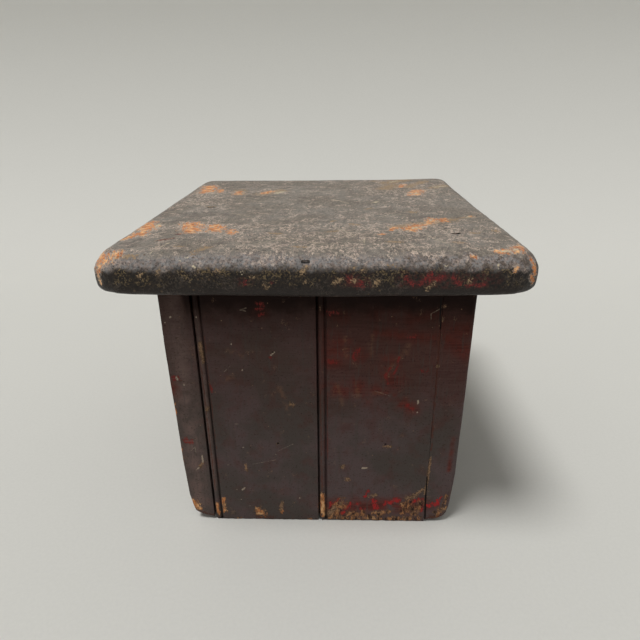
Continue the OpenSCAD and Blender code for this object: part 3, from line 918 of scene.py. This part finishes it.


# Worn places and painted light on the front wall: across and up where a stroke starts and ends, and its
# radius
frontWearAndLight = {
    "bareWood": [
        (-97, 17, -94.5, 11, 2.4), (-79.4, 16.3, -78.8, 5.1, 1.2), (-74.2, 21.4, -73.8, 8.2, 1.4),
        (-46.5, 9, -44.5, 6, 3.0), (2.4, 24, 3.6, 5.4, 2.2), (3.4, 18, 4, 6, 2.0), (10, 7, 18, 17, 3.8),
        (8, 3, 14, 8, 2.4), (22, 2.5, 32, 2.5, 2.4), (36, 3, 47, 3, 2.8), (55, 2, 60, 2.4, 2.2),
        (24, 8, 34, 7, 1.7), (42, 8, 56, 10, 1.5), (66, 9, 70, 19, 2.6), (74, 8, 79, 18, 2.4),
        (64.8, 17.5, 65.5, 16, 1.3), (73.4, 14.7, 74, 12, 1.4), (62, 2, 79, 3, 2.2), (12, 3, 20, 3, 2.0),
        (92.6, 9, 97.2, 13, 2.4), (97, 18, 98.5, 26, 1.2), (34, 10, 35, 6, 1.4), (90, 4, 94, 7, 1.4),
        (-28.3, 10, -28.8, 7, 1.0), (-8, 1, -5, 1, 0.8), (-64, 1, -61, 1, 0.8),
    ],
    "redCoat": [
        (-99.6, 128.2, -96.9, 127.4, 1.5), (-98.7, 74.9, -92.8, 74.1, 1.2), (-96.9, 77.6, -96.9, 74, 1.2),
        (-74.2, 121.9, -73.9, 117.1, 0.9), (-38.9, 183.8, -33.7, 183.1, 0.7),
        (-39.1, 179.6, -35.2, 179.6, 0.7), (-37.9, 176.8, -34, 176.1, 0.7), (-31.6, 145, -31.2, 144, 1.0),
        (9, 141.4, 14, 141.4, 1.3), (8.7, 178, 14, 177, 1.2), (62, 161, 66, 160.6, 1.0),
        (28.8, 151.3, 26.3, 143, 0.8), (26.8, 150.6, 24.9, 144.5, 0.7), (56, 144.6, 55.6, 138.5, 0.9),
        (55.6, 138.5, 53.2, 133.1, 0.9), (50.9, 138.5, 47.8, 130.7, 0.8), (47.8, 130.7, 49.4, 124.3, 1.0),
        (71.4, 135.5, 76.2, 135.5, 0.9), (62.1, 108.2, 67.9, 104.1, 0.9), (20.8, 11.8, 24.6, 15.9, 1.8),
        (30.8, 16, 34, 12, 1.8), (42.3, 20.2, 44.9, 13.2, 2.2), (51.6, 18.3, 61.5, 21.4, 1.9),
        (70.9, 18.6, 77.6, 21.7, 2.0), (17.7, 8.7, 19, 8, 1.5), (86.4, 16.9, 91.6, 18.9, 2.2),
        (91.6, 18.9, 93.5, 23.9, 1.6), (12, 16, 16, 22, 1.2), (36, 24, 38, 30, 1.1), (9, 12, 10, 17, 1.4),
        (80, 10, 80.5, 18, 1.2),
    ],
    "tanChip": [
        (-54.2, 52.5, -54.4, 48.8, 1.1), (-28.3, 17, -29.5, 10, 1.0), (-78.9, 102.9, -78.6, 103.4, 1.3),
        (-78.6, 154.7, -77.2, 140.9, 1.1), (39, 25, 44.4, 26, 1.0), (67.5, 23.5, 75, 25.6, 1.1),
        (74.9, 27.5, 79.2, 31.5, 1.2), (7.5, 5.5, 12.2, 12.7, 1.6), (16.8, 17.8, 17.2, 17, 1.1),
        (18.9, 52.5, 19.2, 52.2, 1.2), (22, 41.3, 22.4, 41.3, 1.5), (48.7, 72, 53.1, 72, 0.9),
        (83.2, 182.6, 83.2, 182.4, 0.9), (83.2, 173.4, 83.2, 173.2, 0.8), (82.7, 138.6, 82.7, 138.2, 0.8),
        (83.4, 61, 83, 46, 0.7), (83, 46, 81.6, 28, 0.7), (-18.4, 107.6, -17, 107, 1.2),
        (-86.5, 55.9, -89.2, 51.2, 0.8), (-29.6, 72.6, -29, 72.6, 0.9),
    ],
    "creamChip": [
        (-96.6, 174.5, -96.4, 174.5, 0.9), (-100.5, 170, -100.5, 170, 0.8), (-103, 160.6, -103, 160, 0.8),
        (-89.9, 151.6, -89.9, 151.4, 0.8), (-98, 128.6, -97.4, 127.2, 0.9), (-93.2, 122.6, -93, 122.6, 1.1),
        (-79.2, 174.5, -79.2, 174.4, 0.8), (-80.8, 166.5, -80.8, 166.4, 0.8),
        (-28.7, 148.8, -30.8, 146.5, 0.8), (-51.4, 134.8, -51.4, 134.6, 0.9),
        (-57.5, 154.8, -57.4, 154.8, 0.9), (-59.7, 90.3, -57.5, 90.3, 0.8), (-66.2, 62.6, -66, 62.6, 0.9),
        (-55.2, 70, -55.2, 69.8, 0.9), (-52.7, 62.7, -52.6, 62.6, 0.9), (-67.7, 53.3, -67.6, 53.2, 0.9),
        (-31, 63, -30.8, 62.8, 1.0), (-70.6, 37.1, -70.6, 37, 0.8), (-62.7, 29.4, -62.6, 29.4, 0.9),
        (-60.2, 20.6, -60.2, 20.5, 0.8), (-53.6, 13.6, -53.5, 13.6, 0.9), (-14, 29.2, -14, 29.1, 0.9),
        (-14.2, 22.3, -14.2, 22.2, 0.9), (-58.8, 29.5, -56.3, 31.5, 0.8), (71, 111.6, 71.2, 108.3, 0.8),
        (70.9, 101.6, 71, 101.6, 0.9), (33.1, 51.8, 36.8, 51.8, 0.5), (95.8, 106, 96, 106, 0.9),
        (91.2, 102.6, 91.2, 102.5, 0.8), (-86.6, 62.3, -86.5, 56, 0.8), (-89.2, 51.2, -92.6, 48.3, 0.7),
    ],
    "redHaze": [
        (8, 180, 18, 176, 4), (8, 160, 19, 156, 4), (8, 150, 19, 149, 3), (8, 141, 15, 141, 3),
        (8, 121, 19.7, 118, 4), (42, 163, 78, 160, 3.5), (25, 147, 29, 147, 4), (50, 140, 54, 126, 5),
        (88, 166, 100, 166, 6), (28, 124, 33, 112, 4), (60, 108, 68, 104, 4), (6.4, 120, 6.4, 60, 1.0),
        (10, 14, 78, 16, 6), (-37, 180, -35, 180, 4), (40, 119, 52, 115, 3), (98.6, 78, 98, 50, 1.2),
        (40, 178, 60, 176, 4), (62, 172, 80, 178, 3), (86, 160, 100, 150, 5),
    ],
    # painted light: the left corner strip lighter, and a painted highlight along the worn crest of the left
    # bead
    "paleHaze": [(-93, 4, -93, 196, 6), (-80, 30, -78.5, 180, 1.6)],
    "tanHaze": [
        (38, 162, 36.5, 154, 1.3), (36.5, 154, 37.5, 148, 1.0), (62, 154, 60, 148, 1.5),
        (60, 148, 55.5, 144.5, 1.2), (53, 141, 48.6, 132, 1.3), (48.6, 132, 45.8, 127, 1.0),
        (27.3, 124, 29.3, 114.5, 1.1), (14, 124, 18, 108, 1.2), (38.8, 116, 47.2, 117.7, 0.9),
        (19.3, 160, 20.6, 146, 1.2), (-26, 121, -21, 104, 1.4), (-60, 150, -50, 146, 1.0),
        (-66, 126, -58, 130, 1.1),
    ],
    "edgeRub": [
        (-75.4, 160, -76, 19, 0.6), (2.4, 120, 3, 30, 0.5), (82, 160, 83.2, 69, 0.6),
        (-79.8, 150, -79.4, 30, 0.5), (84, 3, 96, 5, 2), (-96, 8, -84, 3, 1.6), (-50, 2, -36, 2, 1.8),
    ],
}
# Nail heads that show as small holes, open cracks and holes in the paint
wallPits = {
    "front": [
        (-29.1, 73.9, -29.1, 73.9, 1.1), (-29.5, 149, -29.5, 149, 1.1), (49.7, 74, 49.7, 74, 1.1),
        (80.6, 189, 81.9, 165.5, 0.6), (82.2, 44, 82.4, 26, 0.5), (82.4, 26, 83.4, 3, 0.75),
        (22, 41.3, 22, 41.2, 0.7), (39.5, 7, 39.8, 2, 0.7),
    ],
    "back": [(-49.7, 74, -49.7, 74, 1.1), (29.5, 149, 29.5, 149, 1.1)],
}


def randomWear(rng, wall):  # scattered wear for a wall that the photograph doesn't show
    half = (boxHigh.x if wall == "back" else boxHigh.y) / mm
    wear = {name: [] for name in frontWearAndLight}
    for i in range(22):    # chips along the floor
        across, up = rng.uniform(-half, half), rng.uniform(1, 7)
        wear["bareWood"].append((across, up, across + rng.uniform(1, 9), up + rng.uniform(-1, 3),
                                 rng.uniform(1.2, 2.4)))
    for i in range(3):     # worn corners
        for side in (-1, 1):
            up = rng.uniform(8, 120)
            wear["bareWood"].append((side * half, up, side * (half - 1), up + rng.uniform(4, 18),
                                     rng.uniform(0.8, 1.6)))
    for i in range(20):
        across, up = rng.uniform(-half, half), rng.triangular(4, 185, 20)
        wear["redCoat"].append((across, up, across + rng.uniform(-5, 5), up + rng.uniform(0, 5),
                                rng.uniform(0.9, 1.6)))
    for i in range(16):
        across, up = rng.uniform(-half, half), rng.uniform(15, 185)
        wear["tanChip"].append((across, up, across + 1, up + 1, rng.uniform(0.8, 1.5)))
        across, up = rng.uniform(-half, half), rng.uniform(15, 185)
        wear["creamChip"].append((across, up, across, up, rng.uniform(0.7, 1.1)))
    for i in range(7):
        across, up = rng.uniform(-half, half), rng.uniform(10, 180)
        wear["redHaze"].append((across, up, across + rng.uniform(4, 30), up + rng.uniform(-4, 4),
                                rng.uniform(3, 6)))
        wear["edgeRub"].append((across, 2, across + rng.uniform(8, 30), 2, 2))
    return wear


rng = random.Random(11)
wallWearAndLight = {wall: randomWear(rng, wall) for wall in ("back", "left", "right")}
wallWearAndLight["front"] = frontWearAndLight


def boardWearAndLight(board):
    points = pointsOf(board, boardShape["wander"])
    for name in frontWearAndLight:
        strokeField(board, name, [stroke for wall, wear in wallWearAndLight.items()
                                for stroke in lay(wear[name], partial(onWall, wall))], points)
    pits = [stroke for wall, strokes in wallPits.items() for stroke in lay(strokes, partial(onWall, wall))]
    strokeField(board, "pit", pits, points)


# How the two front corners are worn, in mm: how far in at each height, and how far up at each place across
cornerWear = {
    "leftBoardFront": {
        "inward": [(0, 6.8), (7, 5.9), (24, 3.1), (57, 1.6), (93, 1.3), (124, 0.5), (151, 0), (190, 0)],
        "outward": 0.2,
        "raised": [(82, 2.5), (90, 3.8), (95, 4.8), (100, 6.5), (103, 8)],
    },
    "rightBoardFront": {
        "inward": [(0, 4.4), (9, 3.8), (17, 2.6), (45, 0.8), (92, 0.3), (173, 0), (190, 0)],
        "outward": 1.0,
        "raised": [(84, 2.0), (90, 2.6), (95, 3.3), (99, 5), (103, 8.5)],
    },
}


def wearCorner(board, side, worn):  # side: -1 for the left corner, 1 for the right one
    atHeight, inward = zip(*worn["inward"])
    atPlace, raised = zip(*worn["raised"])
    nearFront = lambda place: share(place.y, -75 * mm, -115 * mm)
    nearSide = lambda place: share(abs(place.x), 86 * mm, 103 * mm)
    upThere = lambda place: np.interp(place.z / mm, atHeight, inward) / max(inward)
    shift(board, "raised", "Z", max(raised), lambda place: nearFront(place)
          * max(0, 1 - place.z / (30 * mm)) * np.interp(abs(place.x) / mm, atPlace, raised) / max(raised))
    shift(board, "outward", "X", side * worn["outward"], lambda place: nearFront(place) * nearSide(place))
    shift(board, "inward", "X", -side * max(inward), lambda place: nearFront(place) * nearSide(place)
          * upThere(place))
    shift(board, "backward", "Y", max(inward) * 0.35, lambda place: nearFront(place)
          * nearSide(place) ** 2 * upThere(place))    # the face goes back a third as far as the side goes in


def pieceName(node):
    first, *others = node.split("_")
    return first + "".join(word.capitalize() for word in others)


def dressBoard(node, kind):
    name, wall = pieceName(node), node.split("_")[0]
    board = copyPiece(milled[kind], name)
    board.location = (*wallCorner(node, wall), 0)
    board.rotation_euler = (0, 0, math.radians(wallTurn[wall]))
    bpy.ops.object.transform_apply(location=True, rotation=True, scale=True)
    groupByPlace(board, "aboveFloor", lambda place: place.z / (5 * mm))
    groupByPlace(board, "floorEnd", lambda place: 1 - place.z / (7 * mm))
    for bumps in boardShape["bumps"]:
        unevenSurface(board, *bumps)
    if name in cornerWear:
        wearCorner(board, -1 if wall == "left" else 1, cornerWear[name])
    boardWearAndLight(board)
    finishPiece(board, boardMaterial, "painted_boards", node)


for node, kind in boardKinds.items():
    dressBoard(node, kind)
for board in milled.values():
    bpy.data.objects.remove(board)
print("boards dressed")


# The cleats inside the box

cleatShape = {"edge": 0.8, "cell": 4, "bumps": ("sawWaves", 18, 0.4)}


def modelCleat(node):
    low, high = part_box(node)
    cleat = addCube(pieceName(node), low, high)
    startEdit(cleat)
    bpy.ops.mesh.bevel(offset=cleatShape["edge"] * mm, segments=2)
    long = max(high - low)
    pickAlong(cleat, list(high - low).index(long), long / 2)
    bpy.ops.mesh.subdivide(number_cuts=round(long / mm / cleatShape["cell"]))
    endEdit()
    unevenSurface(cleat, *cleatShape["bumps"])
    finishPiece(cleat, cleatMaterial, "bare_wood", node)


for name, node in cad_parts.items():
    if name.endswith("cleat"):
        modelCleat(name)
    if name.endswith("nails"):
        node.data.materials.clear()
        node.data.materials.append(nailMaterial)
print("cleats and nails done")


# Floor, light and camera

studio = {
    "floor": (216, 215, 209), "floorWeave": (208, 207, 201),
    "wide": 9, "near": -5, "far": 0.45, "bend": 0.5, "tall": 2.5,   # metres
    "backdrop": 0.05, "glow": (1, 1, 0.95, 1),           # glow of the backdrop where it stands up
    "lamp": 1.95, "lampSize": 18, "towardLamp": (-0.26, -0.20, 0.95),
    "room": 0.30, "roomSeen": 0.50,                      # light from all round, and how bright it looks
    "roomColour": (1, 0.995, 0.98, 1),
}


def seenOnly():  # 1 where the camera or a reflection sees it, 0 where it lights the stool
    ray = addNode("LightPath")
    return most(ray.outputs["Is Camera Ray"], ray.outputs["Is Glossy Ray"])


def makeFloor():  # a floor that bends up into a backdrop
    far, bend, halfWide = studio["far"], studio["bend"], studio["wide"] / 2
    floor = addPlane("floor", Vector((-halfWide, studio["near"], 0)), Vector((halfWide, far, 0)))
    startEdit(floor)
    pickEdges(floor, lambda point: point.y > far - mm)
    bpy.ops.mesh.spin(steps=32, angle=math.radians(-90), center=(0, far, bend), axis=(1, 0, 0))
    pickEdges(floor, lambda point: point.z > bend - mm)
    extrude(0, 0, studio["tall"])
    endEdit()
    bpy.ops.object.shade_smooth()
    material, place = newMaterial("paleFloor")
    weave = clouds(place, 2.5, 3)
    colour = blend(weave, studio["floor"], studio["floorWeave"])
    shader = finishMaterial(colour, 0.9, [(weave, 0.05)])
    standing = rise(addNode("SeparateXYZ", {0: place}).outputs[2], 0.0, bend)
    tree.links.new(times(seenOnly(), standing, studio["backdrop"]), shader.inputs["Emission Strength"])
    shader.inputs["Emission Color"].default_value = studio["glow"]
    floor.data.materials.append(material)


def makeLight():
    bpy.ops.object.light_add(type="SUN", location=(0, 0, 2))
    lamp = bpy.context.object
    lamp.name = "softLamp"
    lamp.data.energy = studio["lamp"]
    lamp.data.angle = math.radians(studio["lampSize"])
    lamp.rotation_euler = Vector(studio["towardLamp"]).to_track_quat("Z", "Y").to_euler()
    world = bpy.data.worlds.new("paleRoom")
    bpy.context.scene.world = world
    startTree(world)
    background = addNode("Background", {"Color": studio["roomColour"],
                                        "Strength": between(seenOnly(), studio["room"], studio["roomSeen"])})
    addNode("OutputWorld", {"Surface": background.outputs[0]})


photoCamera = {
    "place": (0.0126, -0.4318, 0.3078), "turn": 1.80, "tilt": 23.40, "roll": 0.60,
    "lens": 29.1,
}


def makeCamera():
    bpy.ops.object.camera_add()
    camera = bpy.context.object
    camera.name = "photoCamera"
    camera.data.lens = photoCamera["lens"]
    camera.data.sensor_width = 36
    camera.matrix_world = (
        Matrix.Translation(photoCamera["place"])
        @ Matrix.Rotation(math.radians(photoCamera["turn"]), 4, "Z")
        @ Matrix.Rotation(math.radians(90 - photoCamera["tilt"]), 4, "X")
        @ Matrix.Rotation(math.radians(-photoCamera["roll"]), 4, "Z"))
    camera.data.clip_start = 0.01
    bpy.context.scene.camera = camera


makeFloor()
makeLight()
makeCamera()
bpy.context.scene.view_settings.view_transform = "Standard"
print("floor, light and camera made")
